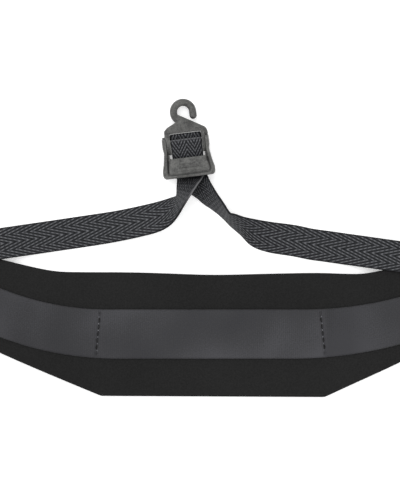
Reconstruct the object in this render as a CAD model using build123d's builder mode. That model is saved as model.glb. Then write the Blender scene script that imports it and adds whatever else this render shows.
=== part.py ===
from build123d import *
from math import cos, sin, radians, acos, atan2, degrees, hypot
import os

# Saxophone neck strap, laid flat: padded neck band, two webbing strands and a hook with a cam lever.
# Millimetres. Z = 0 is the surface it lies on, +Y points to the hook, the origin is under the pad's middle.

os.makedirs("parts", exist_ok=True)

# --- neck pad ---------------------------------------------------------------
pad_straight_half = 56.0      # the pad's centre line is straight up to here, each way
bend_radius_left = 188.0      # the pad's ends curve upwards on these radii
bend_radius_right = 244.0
pad_end_arc = 120.0           # length of each curved end along its centre line
pad_corner_left = (-63.3, -37.7)
pad_corner_right = (72.9, -38.4)
lining_thickness = 0.6
foam_thickness = 4.0
face_thickness = 0.6
pad_corner_radius = 5.0

# --- band over the pad ------------------------------------------------------
band_width = 30.0
band_end_width = 26.4         # the cover narrows towards its ends
band_height = 1.6             # how far the cover stands on the pad's face
band_end_arc = 114.0
elastic_width = 22.0
elastic_thickness = 0.9
elastic_clearance = 0.1
elastic_setback = 4.0         # the elastic stops this far inside the cover's ends

# --- webbing ----------------------------------------------------------------
webbing_width = 19.0
webbing_thickness = 1.3
webbing_rest = 0.95           # height of the webbing's middle where it lies on the surface
leg_length = 42.0             # the sewn end of the webbing, up to its fold

# --- buckle, in its own axes: u across, v towards the hook, w up ------------
buckle_origin = (-9.6, 98.6)
buckle_tilt = 7.0
pin_radius = 1.0
pin_v = 18.4
pin_w = 6.4
pin_half_length = 14.2
pin_chamfer = 0.2
crossbar_v = 21.8
crossbar_w = 2.45
rail_inner_left = 9.3
rail_inner_right = 10.1
rail_outer = 11.9
shoulder_v = 22.0             # the plate's shoulders reach down beside the lever's ears
flange_outer = 13.6           # a low flange under each arm of the lever
flange_start_v = 10.9
flange_end_v = 22.6
flange_low = 1.0
flange_height = 2.0
flange_overlap = 0.3
plate_low = 1.9
plate_thickness = 3.4
plate_edge_v = 24.5
hook_bar_radius = 2.15
hook_centre = (0.7, 36.9)
hook_radius = 5.85
hook_end_v = 34.15
arm_inner = 12.1
arm_outer = 14.3
arm_low = 4.6
arm_top = 9.3
lever_plate_v = 9.0
web_top_v = 11.3              # the plate's corners run up the arms as far as this
rim_gap_width = 25.8
rim_gap_depth = 4.0
rim_gap_v = -1.5
lever_rim_low = 6.9           # the rim along the lever's free edge passes over the webbing
lever_plate_low = 6.9
lever_plate_thickness = 1.9
ear_radius = 3.0
lever_hole_radius = pin_radius + 0.05
webbing_u = 0.4               # the webbing runs a little right of the buckle's middle

# --- stitching --------------------------------------------------------------
stitch_length = 2.0
stitch_width = 0.45
stitch_height = 0.25
stitch_pitch = 3.1
band_stitch_pitch = 4.1
band_stitch_count = 7

face_top = lining_thickness + foam_thickness + face_thickness
band_top = face_top + band_height
leg_low = band_top + 0.1
fold_gap = 0.1
half_thick = webbing_thickness / 2


def end_point(side, arc, offset=0.0):
    """A point of the pad's curved end: arc along its centre line, offset towards the hook side."""
    bend = bend_radius_left if side < 0 else bend_radius_right
    turn = arc / bend
    x = pad_straight_half + bend * sin(turn) - offset * sin(turn)
    y = bend * (1 - cos(turn)) + offset * cos(turn)
    return (side * x, y)


def finish_part(part, name):
    part.label = name
    export_step(part, f"parts/{name}.step")


# --- pad layers -------------------------------------------------------------
pad_upper_edge = [
    (131, 43.2), (107, 38.6), (96, 36.8), (85, 36.7), (74, 37.1), (52, 37), (30, 36.5), (6, 36.05),
    (-20, 36.8), (-50, 37.6), (-80, 37.75), (-91, 38.3), (-102, 40.2), (-113, 42.7), (-132, 47.3),
]


def pad_outline():
    """The pad's outline, seen from above: level middle, tapered and raised ends."""
    with BuildSketch() as outline:
        with BuildLine():
            left_low = end_point(-1, pad_end_arc, -20)
            left_high = end_point(-1, pad_end_arc, 19)
            right_low = end_point(1, pad_end_arc, -20)
            right_high = end_point(1, pad_end_arc, 19)
            Line(pad_corner_left, pad_corner_right)
            Spline(pad_corner_right, (96, -27.8), (118, -17.6), (154, 0.4), right_low)
            Line(right_low, right_high)
            Spline(right_high, *pad_upper_edge, left_high)
            Line(left_high, left_low)
            Spline(left_low, (-156, 4.5), (-124, -11.9), (-91, -26.2), pad_corner_left)
        make_face()
        fillet(outline.vertices(), radius=pad_corner_radius)
    return outline.sketch


outline = pad_outline()

with BuildPart() as pad_lining:
    with BuildSketch():
        add(outline)
    extrude(amount=lining_thickness)
finish_part(pad_lining.part, "pad_lining")

with BuildPart() as pad_foam:
    with BuildSketch(Plane.XY.offset(lining_thickness)):
        add(outline)
    extrude(amount=foam_thickness)
finish_part(pad_foam.part, "pad_foam")

with BuildPart() as pad_face:
    with BuildSketch(Plane.XY.offset(lining_thickness + foam_thickness)):
        add(outline)
    extrude(amount=face_thickness)
    top_edges = pad_face.faces().sort_by(Axis.Z)[-1].edges()
    chamfer(top_edges, length=0.35)
finish_part(pad_face.part, "pad_face")


# --- band and the elastic under it ------------------------------------------
def band_strip(width, end_width, end_arc):
    """A strip along the pad's centre line, as a sketch."""
    half = width / 2
    with BuildSketch() as strip:
        with BuildLine():
            Line((-pad_straight_half, -half), (pad_straight_half, -half))
            Line((-pad_straight_half, half), (pad_straight_half, half))
            for side in (-1, 1):
                ends = []
                for way in (-1, 1):
                    start = (side * pad_straight_half, way * half)
                    middle = end_point(side, end_arc / 2, way * (width + end_width) / 4)
                    finish = end_point(side, end_arc, way * end_width / 2)
                    ThreePointArc(start, middle, finish)
                    ends.append(finish)
                Line(ends[0], ends[1])
        make_face()
    return strip.sketch


with BuildPart() as stretch_webbing:
    with BuildSketch(Plane.XY.offset(face_top)):
        add(band_strip(elastic_width, elastic_width, band_end_arc - elastic_setback))
    extrude(amount=elastic_thickness)
finish_part(stretch_webbing.part, "stretch_webbing")

with BuildPart() as band_cover:
    with BuildSketch(Plane.XY.offset(face_top)):
        add(band_strip(band_width, band_end_width, band_end_arc))
    extrude(amount=band_height)
    with BuildSketch(Plane.XY.offset(face_top)):
        cavity_width = elastic_width + 2 * elastic_clearance
        add(band_strip(cavity_width, cavity_width, band_end_arc - elastic_setback + elastic_clearance))
    extrude(amount=elastic_thickness + elastic_clearance, mode=Mode.SUBTRACT)
finish_part(band_cover.part, "band_cover")

# --- buckle planes ----------------------------------------------------------
tilt = radians(buckle_tilt)
buckle_plane = Plane(
    origin=(buckle_origin[0], buckle_origin[1], 0),
    x_dir=(cos(tilt), sin(tilt), 0),
    z_dir=(0, 0, 1),
)


def buckle_point(u, v, w=0.0):
    """A point given in the buckle's axes."""
    return buckle_plane.from_local_coords(Vector(u, v, w))


def side_plane(u):
    """The plane across the buckle at u, with v to the right and w up."""
    return Plane(origin=buckle_point(u, 0), x_dir=buckle_plane.y_dir, z_dir=buckle_plane.x_dir)


def tangent_point(centre, radius, point, turn):
    """Where a line from point touches a circle, on the side that turn (+1 or -1) says."""
    dx, dy = point[0] - centre[0], point[1] - centre[1]
    angle = atan2(dy, dx) + turn * acos(radius / hypot(dx, dy))
    return (centre[0] + radius * cos(angle), centre[1] + radius * sin(angle))


wrap_radius = pin_radius + half_thick
pin_centre = (pin_v, pin_w)
bar_centre = (crossbar_v, crossbar_w)


# --- webbing strands --------------------------------------------------------
def ribbon(rows):
    """A strap lofted through rows; each row is the strap's left and right edge point, in its direction."""
    with BuildPart() as strap:
        for left_edge, right_edge in rows:
            middle = (left_edge + right_edge) / 2
            across = (right_edge - left_edge).normalized()
            along = Vector(-across.Y, across.X, 0).normalized()
            level_share = (1 - across.Z ** 2) ** 0.5
            lowest = middle.Z - (abs(across.Z) * webbing_width + level_share * webbing_thickness) / 2
            middle += Vector(0, 0, max(0, -lowest))
            with BuildSketch(Plane(origin=middle, x_dir=across, z_dir=along)):
                Rectangle(webbing_width, webbing_thickness)
        loft(ruled=True)
    return strap.part


def level_row(x, y, z, heading):
    """A row across the strap where it lies level."""
    right = Vector(sin(radians(heading)), -cos(radians(heading)), 0) * (webbing_width / 2)
    return (Vector(x, y, z) - right, Vector(x, y, z) + right)


def row_pairs(table):
    """Rows from a table of x, y, z of the left edge and x, y, z of the right edge."""
    return [(Vector(*row[:3]), Vector(*row[3:])) for row in table]


def unit(heading):
    """The level direction at this heading."""
    return Vector(cos(radians(heading)), sin(radians(heading)), 0)


def folded_end(leg_heading, fold, strand_heading, flat_run):
    """The sewn leg on the pad's end, its fold, and the strand's first flat run back over it."""
    leg_dir = unit(leg_heading)
    strand_dir = unit(strand_heading)
    crease = (leg_dir + strand_dir).normalized()
    centre = Vector(fold[0], fold[1], 0)
    outward = (leg_dir - strand_dir).normalized()
    low, high = [], []
    for half in (-webbing_width / 2, webbing_width / 2):
        across = Vector(-leg_dir.Y, leg_dir.X, 0)
        corner = centre + crease * (half / crease.dot(across))
        low.append(corner)
        high.append(centre - leg_dir * leg_length + across * half)
    ends = []
    for corner in low:
        along = (centre + strand_dir * flat_run - corner).dot(strand_dir)
        ends.append(corner + strand_dir * along)
    outer = [corner + outward * webbing_thickness for corner in low]
    layers = [
        (high, leg_low, webbing_thickness),
        (ends, leg_low + webbing_thickness + fold_gap, webbing_thickness),
        (outer, leg_low, 2 * webbing_thickness + fold_gap),
    ]
    with BuildPart() as fold_part:
        for far, height, thick in layers:
            with BuildSketch(Plane.XY.offset(height)):
                with BuildLine():
                    Polyline([(p.X, p.Y) for p in (low[0], low[1], far[1], far[0])], close=True)
                make_face()
            extrude(amount=thick)
    return fold_part.part


flat_run = 14.0
left_fold = (-182.2, 46.5)
right_fold = (187.4, 37.3)
left_leg_heading = 146.0
right_leg_heading = 27.0
left_heading = 8.4
right_heading = 171.9
fold_mid = leg_low + 1.5 * webbing_thickness + fold_gap
mouth_left_w = 2.6
mouth_right_w = crossbar_w - pin_radius - half_thick


def level_rows(fold, heading, places):
    """Level rows along a strand's straight line, from pairs of x and height."""
    slope = sin(radians(heading)) / cos(radians(heading))
    start = Vector(fold[0], fold[1], 0) + unit(heading) * flat_run
    rows = [level_row(start.X, start.Y, fold_mid, heading)]
    for x, z in places:
        rows.append(level_row(x, fold[1] + (x - fold[0]) * slope, z, heading))
    return rows


def mouth_row(height):
    """The row where a strand enters the buckle."""
    half = buckle_plane.x_dir * (webbing_width / 2)
    middle = buckle_point(webbing_u, 0, height)
    return (middle - half, middle + half)


# The left strand turns upwards with its outer edge standing up; the right one with its inner edge up.
left_places = [(-147, 7.9), (-138, 6.9), (-129, 6.3), (-120, 6.0), (-111, 4.0), (-100, 1.6), (-88, webbing_rest)]
left_turn = [
    (-53.1, 75.3, 0.7, -50.0, 56.9, 3.6),
    (-39.6, 78.1, 0.7, -36.0, 60.0, 5.0),
    (-29.9, 80.4, 0.7, -26.8, 62.8, 7.2),
    (-23.8, 82.1, 0.7, -21.0, 66.4, 10.8),
    (-19.5, 83.3, 0.7, -16.2, 72.3, 15.2),
    (-17.5, 84.1, 0.7, -12.8, 78.1, 16.6),
    (-17.1, 85.7, 0.8, -10.4, 82.0, 16.3),
    (-17.1, 88.1, 1.0, -8.2, 85.4, 15.2),
    (-17.1, 90.6, 1.5, -5.8, 89.1, 12.6),
    (-17.1, 93.0, 2.1, -3.3, 92.6, 9.2),
    (-17.3, 95.2, 2.5, -0.9, 96.1, 5.0),
]
right_places = [(144, 7.9), (130, 6.6), (116, 6.1), (104, 5.9), (94, 3.4), (82, 1.3), (72, webbing_rest)]
right_turn = [
    (55.3, 47.0, 0.7, 57.9, 65.9, 0.9),
    (40.3, 49.4, 0.7, 42.7, 68.0, 3.2),
    (31.4, 52.1, 0.7, 33.5, 69.4, 7.6),
    (26.7, 55.1, 0.7, 27.4, 70.5, 11.4),
    (22.9, 59.4, 0.7, 22.0, 71.7, 14.8),
    (19.2, 62.8, 0.7, 17.7, 73.0, 16.2),
    (15.2, 66.4, 0.7, 15.2, 73.6, 16.6),
    (11.3, 70.4, 0.7, 13.7, 75.4, 16.7),
    (7.6, 73.6, 0.7, 11.9, 78.4, 16.6),
    (3.4, 76.7, 0.7, 9.8, 81.7, 16.2),
    (-0.6, 79.3, 0.7, 7.6, 85.0, 14.8),
    (-4.1, 82.2, 0.75, 5.2, 89.1, 12.6),
    (-7.9, 84.8, 0.8, 3.4, 92.5, 9.6),
    (-12.5, 88.1, 0.8, 2.2, 95.3, 6.2),
    (-16.2, 92.8, 0.8, 1.1, 97.8, 3.0),
]
left_rows = level_rows(left_fold, left_heading, left_places) + row_pairs(left_turn)
left_rows.append(mouth_row(mouth_left_w))
right_rows = level_rows(right_fold, right_heading, right_places) + row_pairs(right_turn)
right_rows.append(mouth_row(mouth_right_w))

tail_end = (7.0, 3.2)
front_left = tangent_point(pin_centre, wrap_radius, (0, mouth_left_w), -1)
back_left = tangent_point(pin_centre, wrap_radius, tail_end, 1)
lap_start = (15.0, 2.2)
lap_end = (11.5, 2.2)
front_right = tangent_point(bar_centre, wrap_radius, lap_start, -1)
back_right = (crossbar_v, crossbar_w - wrap_radius)

left_end_piece = folded_end(left_leg_heading, left_fold, left_heading, flat_run)
left_strand = ribbon(left_rows)
right_end_piece = folded_end(right_leg_heading, right_fold, right_heading, flat_run)
right_strand = ribbon(right_rows)

with BuildPart() as webbing_left:
    add(left_end_piece)
    add(left_strand)
    with BuildSketch(side_plane(webbing_u - webbing_width / 2)):
        with BuildLine() as run:
            Line((0, mouth_left_w), front_left)
            ThreePointArc(front_left, (pin_v + wrap_radius, pin_w), back_left)
            Line(back_left, tail_end)
            offset(amount=half_thick, side=Side.BOTH, kind=Kind.INTERSECTION)
        make_face()
    extrude(amount=webbing_width)
finish_part(webbing_left.part, "webbing_left")

with BuildPart() as webbing_right:
    add(right_end_piece)
    add(right_strand)
    with BuildSketch(side_plane(webbing_u - webbing_width / 2)):
        with BuildLine() as run:
            Line((0, mouth_right_w), back_right)
            ThreePointArc(back_right, (crossbar_v + wrap_radius, crossbar_w), front_right)
            Line(front_right, lap_start)
            Line(lap_start, lap_end)
            offset(amount=half_thick, side=Side.BOTH, kind=Kind.INTERSECTION)
        make_face()
    extrude(amount=webbing_width)
finish_part(webbing_right.part, "webbing_right")


# --- hook frame -------------------------------------------------------------
rail_profile = [
    (11.7, 2.4), (11.7, 6.4), (15.5, 8.5), (20.5, 8.5), (25.5, 5.3), (25.5, 1.9),
    (24.2, 0.6), (21.0, 0.3), (16.0, 1.0),
]
plate_profile = [
    (-rail_outer, plate_edge_v), (-rail_outer, shoulder_v), (-12.4, shoulder_v), (-12.2, 26.4),
    (-10.2, 28.3), (-4.0, 31.3), (-4.0, 36.4), (-2.4, 35.4), (12.6, 26.6), (13.6, 25.4), (14.1, 23.6),
    (14.1, shoulder_v), (rail_outer, shoulder_v), (rail_outer, plate_edge_v),
]

with BuildPart() as hook_frame:
    with BuildSketch(buckle_plane.offset(plate_low)) as plate:
        with BuildLine():
            Polyline(plate_profile, close=True)
        make_face()
    extrude(amount=plate_thickness)
    for low, high in ((-rail_outer, -rail_inner_left), (rail_inner_right, rail_outer)):
        with BuildSketch(side_plane(low)):
            with BuildLine():
                Polyline(rail_profile, close=True)
            make_face()
        extrude(amount=high - low)
    with BuildSketch(buckle_plane.offset(flange_low)):
        for middle in (-(flange_outer + rail_outer) / 2, (flange_outer + rail_outer) / 2):
            with Locations((middle, (flange_start_v + flange_end_v) / 2)):
                Rectangle(flange_outer - rail_outer + 2 * flange_overlap, flange_end_v - flange_start_v)
    extrude(amount=flange_height)
    with BuildSketch(side_plane(-rail_inner_right)):
        with Locations(bar_centre):
            Circle(pin_radius)
    extrude(amount=2 * rail_inner_right)
    hook_height = plate_low + plate_thickness / 2
    with BuildSketch(Plane(
        origin=buckle_point(hook_centre[0] + hook_radius, hook_end_v, hook_height),
        x_dir=buckle_plane.x_dir, z_dir=buckle_plane.y_dir,
    )):
        Circle(hook_bar_radius)
    with BuildLine(buckle_plane.offset(hook_height)) as hook_path:
        Line((hook_centre[0] + hook_radius, hook_end_v), (hook_centre[0] + hook_radius, hook_centre[1]))
        CenterArc(hook_centre, hook_radius, 0, 232)
    sweep(path=hook_path.line)
    with Locations(buckle_point(hook_centre[0] + hook_radius, hook_end_v, hook_height)):
        Sphere(hook_bar_radius)
    with BuildSketch(side_plane(-arm_outer)):
        with Locations(pin_centre):
            Circle(pin_radius)
    extrude(amount=2 * arm_outer, mode=Mode.SUBTRACT)
finish_part(hook_frame.part, "hook_frame")

# --- hinge pin --------------------------------------------------------------
with BuildPart() as hinge_pin:
    with BuildSketch(side_plane(-pin_half_length)):
        with Locations(pin_centre):
            Circle(pin_radius)
    extrude(amount=2 * pin_half_length)
    chamfer(hinge_pin.edges().filter_by(GeomType.CIRCLE), length=pin_chamfer)
finish_part(hinge_pin.part, "hinge_pin")

# --- lever ------------------------------------------------------------------
lever_outline = [
    (-arm_outer, pin_v), (-arm_outer, 16.2), (-13.8, 12.6), (-14.8, 6.3), (-15.9, 2.0), (-15.9, -2.9),
    (15.9, -2.9), (15.9, 2.0), (14.8, 6.3), (13.8, 12.6), (arm_outer, 16.2), (arm_outer, pin_v),
]
lever_window = [
    (-arm_inner, pin_v + 1), (-arm_inner, web_top_v), (-10.5, web_top_v), (-10.5, 8.6), (-12.2, 8.0),
    (-12.9, 2.0), (-12.9, -1.2), (12.9, -1.2), (12.9, 2.0), (12.2, 8.0),
    (10.9, 8.6), (10.9, web_top_v), (arm_inner, web_top_v), (arm_inner, pin_v + 1),
]
grip_rib_count = 3
grip_rib_first_v = 1.4
grip_rib_pitch = 2.2
grip_rib_length = 14.0
grip_rib_step = 3.0
grip_rib_width = 0.9
grip_rib_height = 0.35
lever_corner_radius = 2.4
lever_plate_outline = [(-13.4, -1.8), (13.4, -1.8), (12.6, lever_plate_v), (-12.6, lever_plate_v)]

with BuildPart() as lever:
    with BuildSketch(buckle_plane.offset(arm_low)) as arms:
        with BuildLine():
            Polyline(lever_outline, close=True)
        make_face()
        fillet(arms.vertices().group_by(Axis.Y)[0], radius=lever_corner_radius)
        with BuildLine():
            Polyline(lever_window, close=True)
        make_face(mode=Mode.SUBTRACT)
    extrude(amount=arm_top - arm_low)
    with BuildSketch(buckle_plane.offset(arm_low)):
        with Locations((0, rim_gap_v)):
            Rectangle(rim_gap_width, rim_gap_depth)
    extrude(amount=lever_rim_low - arm_low, mode=Mode.SUBTRACT)
    with BuildSketch(buckle_plane.offset(lever_plate_low)):
        with BuildLine():
            Polyline(lever_plate_outline, close=True)
        make_face()
    extrude(amount=lever_plate_thickness)
    with BuildSketch(buckle_plane.offset(lever_plate_low + lever_plate_thickness)):
        for row in range(grip_rib_count):
            with Locations((0, grip_rib_first_v + row * grip_rib_pitch)):
                SlotOverall(grip_rib_length - grip_rib_step * row, grip_rib_width)
    extrude(amount=grip_rib_height)
    for low in (-arm_outer, arm_inner):
        with BuildSketch(side_plane(low)):
            with Locations(pin_centre):
                Circle(ear_radius)
        extrude(amount=arm_outer - arm_inner)
        with BuildSketch(side_plane(low)):
            with Locations(pin_centre):
                Circle(lever_hole_radius)
        extrude(amount=arm_outer - arm_inner, mode=Mode.SUBTRACT)
finish_part(lever.part, "lever")


# --- stitching --------------------------------------------------------------
def stitch_row(count, x, y, angle, height, pitch):
    """The places of a straight row of stitches, centred on a point."""
    along = unit(angle)
    places = []
    for number in range(count):
        shift = (number - (count - 1) / 2) * pitch
        places.append(Location((x + along.X * shift, y + along.Y * shift, height), (0, 0, angle)))
    return places


def stitches(places):
    """One thread's stitches, as separate small solids."""
    with BuildPart() as thread:
        with Locations(places):
            Box(stitch_length, stitch_width, stitch_height, align=(Align.CENTER, Align.CENTER, Align.MIN))
    return thread.part


# x of each seam across the band, at the band's upper and lower edge
band_seams = {"left": (-64.4, -65.9), "right": (70.8, 72.5)}
for label, (upper_x, lower_x) in band_seams.items():
    lean = degrees(atan2(band_width, upper_x - lower_x))
    middle = ((upper_x + lower_x) / 2, 0)
    if label == "right":
        middle = end_point(1, middle[0] - pad_straight_half)
    else:
        middle = end_point(-1, -middle[0] - pad_straight_half)
    places = stitch_row(band_stitch_count, middle[0], middle[1], lean, band_top, band_stitch_pitch)
    finish_part(stitches(places), f"band_stitches_{label}")

box_stitch_half = 5.5
box_stitch_back = 32.0
ends = (("left", left_leg_heading, left_fold), ("right", right_leg_heading, right_fold))
for label, heading, fold in ends:
    middle = Vector(fold[0], fold[1], 0) - unit(heading) * box_stitch_back
    places = []
    for turn in (0, 90):
        across = unit(heading + turn + 90) * box_stitch_half
        for way in (-1, 1):
            places += stitch_row(4, middle.X + across.X * way, middle.Y + across.Y * way,
                                 heading + turn, leg_low + webbing_thickness, stitch_pitch)
    finish_part(stitches(places), f"tip_stitches_{label}")

places = []
for row_v in (12.4, 13.6):
    place = buckle_point(webbing_u, row_v)
    places += stitch_row(5, place.X, place.Y, buckle_tilt, lap_end[1] + half_thick, stitch_pitch)
finish_part(stitches(places), "bartack")
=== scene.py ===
# Saxophone neck strap, laid flat on a pale table.
import math

import bmesh
import bpy
import numpy as np
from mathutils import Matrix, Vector


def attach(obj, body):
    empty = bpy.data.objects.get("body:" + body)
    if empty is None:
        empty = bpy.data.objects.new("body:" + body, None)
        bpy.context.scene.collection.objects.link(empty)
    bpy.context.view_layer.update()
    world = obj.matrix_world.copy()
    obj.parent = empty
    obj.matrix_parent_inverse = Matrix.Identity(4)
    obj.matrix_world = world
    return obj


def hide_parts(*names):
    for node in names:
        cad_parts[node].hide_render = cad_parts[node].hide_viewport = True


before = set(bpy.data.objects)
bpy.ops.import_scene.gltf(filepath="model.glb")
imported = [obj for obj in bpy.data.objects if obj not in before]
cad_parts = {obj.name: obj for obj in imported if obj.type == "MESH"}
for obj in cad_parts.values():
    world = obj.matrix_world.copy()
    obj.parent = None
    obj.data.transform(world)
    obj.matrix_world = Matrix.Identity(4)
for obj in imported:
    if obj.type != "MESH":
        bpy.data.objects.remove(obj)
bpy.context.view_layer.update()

mm = 0.001  # every size below is in millimetres


# sRGB hex to the linear colour that the shaders want
def linear(hexColour):
    parts = [int(hexColour[i:i + 2], 16) / 255 for i in (0, 2, 4)]
    return [c / 12.92 if c <= 0.04045 else ((c + 0.055) / 1.055) ** 2.4 for c in parts] + [1.0]


# adds one node, sets its values and plugs in its links
def addNode(tree, kind, values=None, links=None, **settings):
    node = tree.nodes.new("ShaderNode" + kind)
    for key, value in settings.items():
        setattr(node, key, value)
    for socket, value in (values or {}).items():
        node.inputs[socket].default_value = value
    for socket, source in (links or {}).items():
        tree.links.new(source, node.inputs[socket])
    return node


# noise over the piece's own place, with its scale counted along a metre
def noise(tree, place, scale, detail=3.0, roughness=0.5):
    return addNode(tree, "TexNoise", {"Scale": scale, "Detail": detail, "Roughness": roughness},
                   {"Vector": place}).outputs["Fac"]


# a calculation in the shader; each input is a number or another node's output
def reckon(tree, operation, *inputs):
    numbers = {i: value for i, value in enumerate(inputs) if isinstance(value, (int, float))}
    links = {i: value for i, value in enumerate(inputs) if i not in numbers}
    return addNode(tree, "Math", numbers, links, operation=operation).outputs[0]


def relieve(tree, surface, height, strength, depth):
    bump = addNode(tree, "Bump", {"Strength": strength, "Distance": depth}, {"Height": height})
    tree.links.new(bump.outputs["Normal"], surface.inputs["Normal"])


def newObject(name, data):
    made = bpy.data.objects.new(name, data)
    bpy.context.scene.collection.objects.link(made)
    return made


def setColour(tree, surface, colour, gloss=None):
    tree.links.new(colour, surface.inputs["Base Color"])
    if gloss is not None:
        tree.links.new(gloss, surface.inputs["Roughness"])


def startMaterial(name, **shader):
    material = bpy.data.materials.new(name)
    material.use_nodes = True
    surface = material.node_tree.nodes["Principled BSDF"]
    for socket, value in shader.items():
        surface.inputs[socket.replace("_", " ")].default_value = value
    place = addNode(material.node_tree, "TexCoord").outputs["Object"]
    return material, material.node_tree, surface, place


def colourRamp(tree, level, stops):
    node = addNode(tree, "ValToRGB", None, {"Fac": level})
    while len(node.color_ramp.elements) < len(stops):
        node.color_ramp.elements.new(0.5)
    for element, (place, colour) in zip(node.color_ramp.elements, stops):
        element.position = place
        element.color = linear(colour)
    return node.outputs["Color"]


print("materials")

# Neoprene faced with nylon jersey: nearly black, dull, with a fine knit grain and a faint bloom at the rims.
jerseyFinish = {
    "dark": "171717", "light": "212121",
    "wale": 0.9,       # real wales are 0.35 mm, drawn coarser so that they show
    "cloud": 60.0,
    "grain": 0.12,
}


def jerseyMaterial(name, finish):
    material, tree, surface, place = startMaterial(
        name, Roughness=0.86, Specular_IOR_Level=0.08, Sheen_Weight=0.03, Sheen_Roughness=0.55,
    )
    cloud = noise(tree, place, 1000 / finish["cloud"])
    yarn = noise(tree, place, 1000 / finish["wale"], 2.0)
    both = reckon(tree, "MULTIPLY_ADD", cloud, 0.45, yarn)
    tone = colourRamp(tree, both, [(0.5, finish["dark"]), (1.0, finish["light"])])
    wales = addNode(tree, "TexWave", {"Scale": 1000 / finish["wale"] / 6.28, "Distortion": 1.2,
                                      "Detail": 1.0, "Detail Scale": 2.0},
                    {"Vector": place}, bands_direction="X")
    height = reckon(tree, "MULTIPLY_ADD", wales.outputs["Fac"], 0.5, yarn)
    relieve(tree, surface, height, finish["grain"] * 3, finish["grain"] * mm)
    setColour(tree, surface, tone)
    return material


nylonJersey = jerseyMaterial("nylon_jersey_laminated", jerseyFinish)
liningJersey = jerseyMaterial("brushed_lining_jersey", {**jerseyFinish, "dark": "222224", "light": "303032",
                                                        "wale": 1.4, "grain": 0.2})


# Closed-cell neoprene, die cut: a matt black edge with small open pores.
# "pores" counts them along a metre, about 0.5 mm each.
foamFinish = {"pores": 1900.0, "poreDepth": 0.12, "deep": "101010", "skin": "232323"}


def foamMaterial():
    material, tree, surface, place = startMaterial(
        "neoprene_die_cut", Roughness=0.93, Specular_IOR_Level=0.12,
    )
    pores = addNode(tree, "TexVoronoi", {"Scale": foamFinish["pores"]}, {"Vector": place})
    tone = colourRamp(tree, pores.outputs["Distance"],
                      [(0.0, foamFinish["deep"]), (0.6, foamFinish["skin"])])
    relieve(tree, surface, pores.outputs["Distance"], 0.5, foamFinish["poreDepth"] * mm)
    setColour(tree, surface, tone)
    return material


neoprene = foamMaterial()

# Charcoal stretch knit, dyed polyester: soft grey with faint upright ribs, cloudy dye, a light sheen, and
# painted shade where the band curves past the right seam and towards the left end.
bandFinish = {
    "shade": "2d2d30", "middle": "353537", "bright": "404043",
    "rib": 0.62, "ribDepth": 0.1,
    "fleck": 0.75,     # mottled yarn, drawn a little coarser than the thread
    "cloud": 55.0,
}


def bandMaterial():
    material, tree, surface, place = startMaterial(
        "stretch_knit_charcoal", Roughness=0.74, Specular_IOR_Level=0.1, Sheen_Weight=0.06,
        Sheen_Roughness=0.4,
    )
    cloud = noise(tree, place, 1000 / bandFinish["cloud"], 2.0)
    fleck = noise(tree, place, 1000 / bandFinish["fleck"], 3.0, 0.7)
    ribs = addNode(tree, "TexWave", {"Scale": 1000 / bandFinish["rib"] / 6.28, "Distortion": 0.8,
                                     "Detail": 2.0, "Detail Scale": 1.5},
                   {"Vector": place}, bands_direction="X")
    mixed = reckon(tree, "MULTIPLY_ADD", fleck, 0.63, cloud)
    shade = reckon(tree, "MULTIPLY_ADD", ribs.outputs["Fac"], 0.06, mixed)
    tone = colourRamp(tree, shade, [(0.55, bandFinish["shade"]), (0.82, bandFinish["middle"]),
                                    (1.1, bandFinish["bright"])])
    # painted shade: darkens the knit along x where the band curves, past the right seam and towards the left
    # end
    bandPaintedShade = addNode(tree, "Attribute", attribute_name="bandPaintedShade")
    bandShaded = addNode(tree, "Mix", {7: linear("000000")}, {0: bandPaintedShade.outputs["Fac"], 6: tone},
                     data_type="RGBA")
    height = reckon(tree, "MULTIPLY_ADD", ribs.outputs["Fac"], 0.3, fleck)
    relieve(tree, surface, height, 0.45, bandFinish["ribDepth"] * mm)
    setColour(tree, surface, bandShaded.outputs[2])
    return material


bandKnit = bandMaterial()

# Polypropylene webbing in herringbone weave: slate black, zigzag ridges of lighter yarn, dark valleys.
# A ridge stands for a few yarns, since single ones would be too fine to show.
weave = {
    "width": 19.0, "thickness": 1.3,
    "column": 4.75,    # four columns across the strap
    "slope": 2.87,     # a ridge runs this far along for each millimetre across
    "pitch": 5.3,      # from ridge to ridge along the strap
    "relief": 0.12,
    "float": 2.65,     # each yarn floats this far before it dips under
    "fuzz": 1100.0,    # fibre ends along a metre, drawn coarser too
    "selvage": (8.6, 9.2),  # the dark edge yarns begin and are full this far from the middle
    # the last colour is the painted highlight along the raised edge and across the fold over the pin
    "valley": "0a0b0d", "flank": "1f2023", "ridge": "5c5d60", "highlightAndWear": "6d6d6f",
}


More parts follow.
